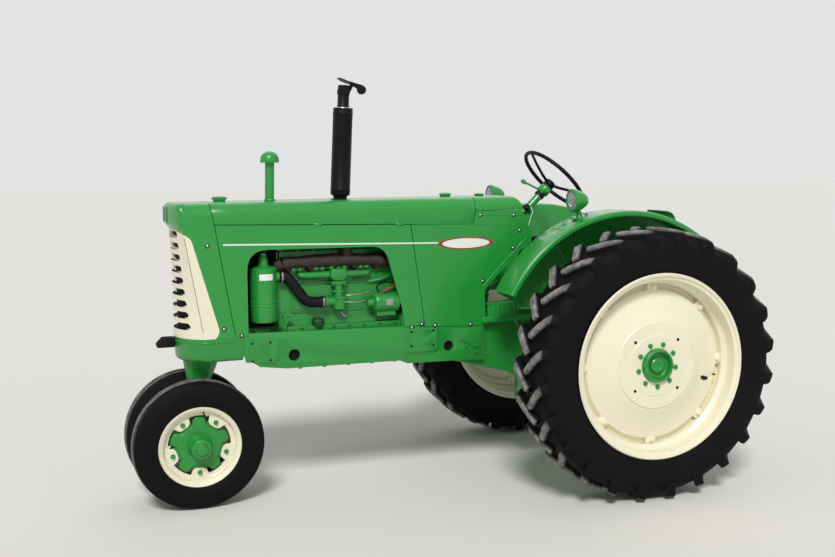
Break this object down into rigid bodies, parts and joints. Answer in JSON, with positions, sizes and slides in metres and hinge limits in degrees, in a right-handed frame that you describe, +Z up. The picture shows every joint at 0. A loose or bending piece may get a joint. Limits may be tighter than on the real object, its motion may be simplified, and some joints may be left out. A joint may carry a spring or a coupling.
{
  "type": "row-crop farm tractor",
  "caption": "Vintage row-crop farm tractor, green with cream wheels and grille, open engine bay, lugged rear tyres and a narrow twin front wheel on a steered pedestal.",
  "frame": {"origin": "on the ground under the middle of the machine's length and width", "axes": "+X forwards, +Y to the driver's left, +Z up"},
  "size_m": [3.5459, 2.0782, 2.3554],
  "materials": {
    "green_sheet": "gloss enamel on sheet steel",
    "green_cast": "gloss enamel on cast iron",
    "green_engine": "enamel on cast iron",
    "cream_sheet": "gloss cream enamel",
    "black_paint": "satin black paint",
    "rusty_iron": "heat-stained iron",
    "black_core": "matt black radiator paint",
    "black_rubber": "moulded rubber",
    "tyre": "tyre rubber",
    "bare_steel": "machined steel",
    "lamp_glass": "pressed lamp glass",
    "seat_vinyl": "black vinyl"
  },
  "bodies": {
    "chassis": {"air_cleaner": "green_sheet", "air_duct": "black_rubber", "axle_housing_left": "green_cast", "axle_housing_right": "green_cast", "carburettor": "green_engine", "cowl_panel_left": "green_sheet", "cowl_panel_right": "green_sheet", "cowl_top": "green_sheet", "dash_panel": "green_sheet", "drawbar_hanger": "green_cast", "engine": "green_engine", "engine_panel_left": "green_sheet", "engine_panel_right": "green_sheet", "exhaust_manifold": "rusty_iron", "fender_left": "green_sheet", "fender_right": "green_sheet", "frame_rails": "green_cast", "front_support": "green_cast", "gearbox_housing": "green_cast", "generator": "green_engine", "grille": "cream_sheet", "headlamp_lenses": "lamp_glass", "headlamps": "green_sheet", "hood_top": "green_sheet", "intake_manifold": "green_engine", "intake_stack": "green_sheet", "levers": "black_paint", "muffler": "black_paint", "nose_shell": "green_sheet", "oil_filter": "green_engine", "pedals": "green_cast", "platform_left": "green_sheet", "platform_right": "green_sheet", "radiator": "black_core", "rear_housing": "green_cast", "seat_cushion": "seat_vinyl", "seat_frame": "green_sheet", "starter_motor": "green_engine", "steering_column": "green_sheet", "tow_bracket": "black_paint"},
    "front_spindle": {"steering_spindle": "green_cast"},
    "steering_wheel": {"steering_wheel": "black_paint"},
    "rain_cap": {"rain_cap": "black_paint"},
    "drawbar": {"drawbar": "green_cast"},
    "pto_shaft": {"pto_shaft": "bare_steel"},
    "fan": {"fan": "green_engine"},
    "front_wheel_left": {"front_tyre_left": "tyre", "front_rim_left": "cream_sheet", "front_hub_left": "green_cast"},
    "rear_wheel_left": {"rear_tyre_left": "tyre", "rear_rim_left": "cream_sheet", "rear_hub_left": "green_cast"},
    "front_wheel_right": {"front_tyre_right": "tyre", "front_rim_right": "cream_sheet", "front_hub_right": "green_cast"},
    "rear_wheel_right": {"rear_tyre_right": "tyre", "rear_rim_right": "cream_sheet", "rear_hub_right": "green_cast"}
  },
  "joints": [
    {"name": "steer", "type": "hinge", "parent": "chassis", "child": "front_spindle", "pos_m": [1.413, 0, 0.35985], "axis": [-0.1132, 0, 0.9936], "range_deg": [-70, 70]},
    {"name": "steering_wheel_turn", "type": "hinge", "parent": "chassis", "child": "steering_wheel", "pos_m": [-0.835, 0, 1.761], "axis": [-0.7193, 0, 0.6947], "range_deg": [-840, 840]},
    {"name": "rain_cap_lid", "type": "hinge", "parent": "chassis", "child": "rain_cap", "pos_m": [0.4574, 0, 2.32], "axis": [0, -1, 0], "range_deg": [-20, 50]},
    {"name": "drawbar_swing", "type": "hinge", "parent": "chassis", "child": "drawbar", "pos_m": [-0.633, 0, 0.4], "axis": [0, 0, 1], "range_deg": [-20, 20]},
    {"name": "pto_turn", "type": "hinge", "parent": "chassis", "child": "pto_shaft", "pos_m": [-1.303, 0, 0.64], "axis": [1, 0, 0], "continuous": true},
    {"name": "fan_turn", "type": "hinge", "parent": "chassis", "child": "fan", "pos_m": [1.157, 0, 1.24], "axis": [1, 0, 0], "continuous": true},
    {"name": "front_wheel_left_roll", "type": "hinge", "parent": "front_spindle", "child": "front_wheel_left", "pos_m": [1.413, 0.156, 0.35985], "axis": [0, 0.9962, -0.0872], "continuous": true},
    {"name": "rear_wheel_left_roll", "type": "hinge", "parent": "chassis", "child": "rear_wheel_left", "pos_m": [-0.963, 0.864, 0.755], "axis": [0, 1, 0], "continuous": true},
    {"name": "front_wheel_right_roll", "type": "hinge", "parent": "front_spindle", "child": "front_wheel_right", "pos_m": [1.413, -0.156, 0.35985], "axis": [0, 0.9962, 0.0872], "continuous": true},
    {"name": "rear_wheel_right_roll", "type": "hinge", "parent": "chassis", "child": "rear_wheel_right", "pos_m": [-0.963, -0.864, 0.755], "axis": [0, 1, 0], "continuous": true}
  ],
  "couplings": [
    {"joint": "steering_wheel_turn", "follows": "steer", "ratio": 12}
  ]
}
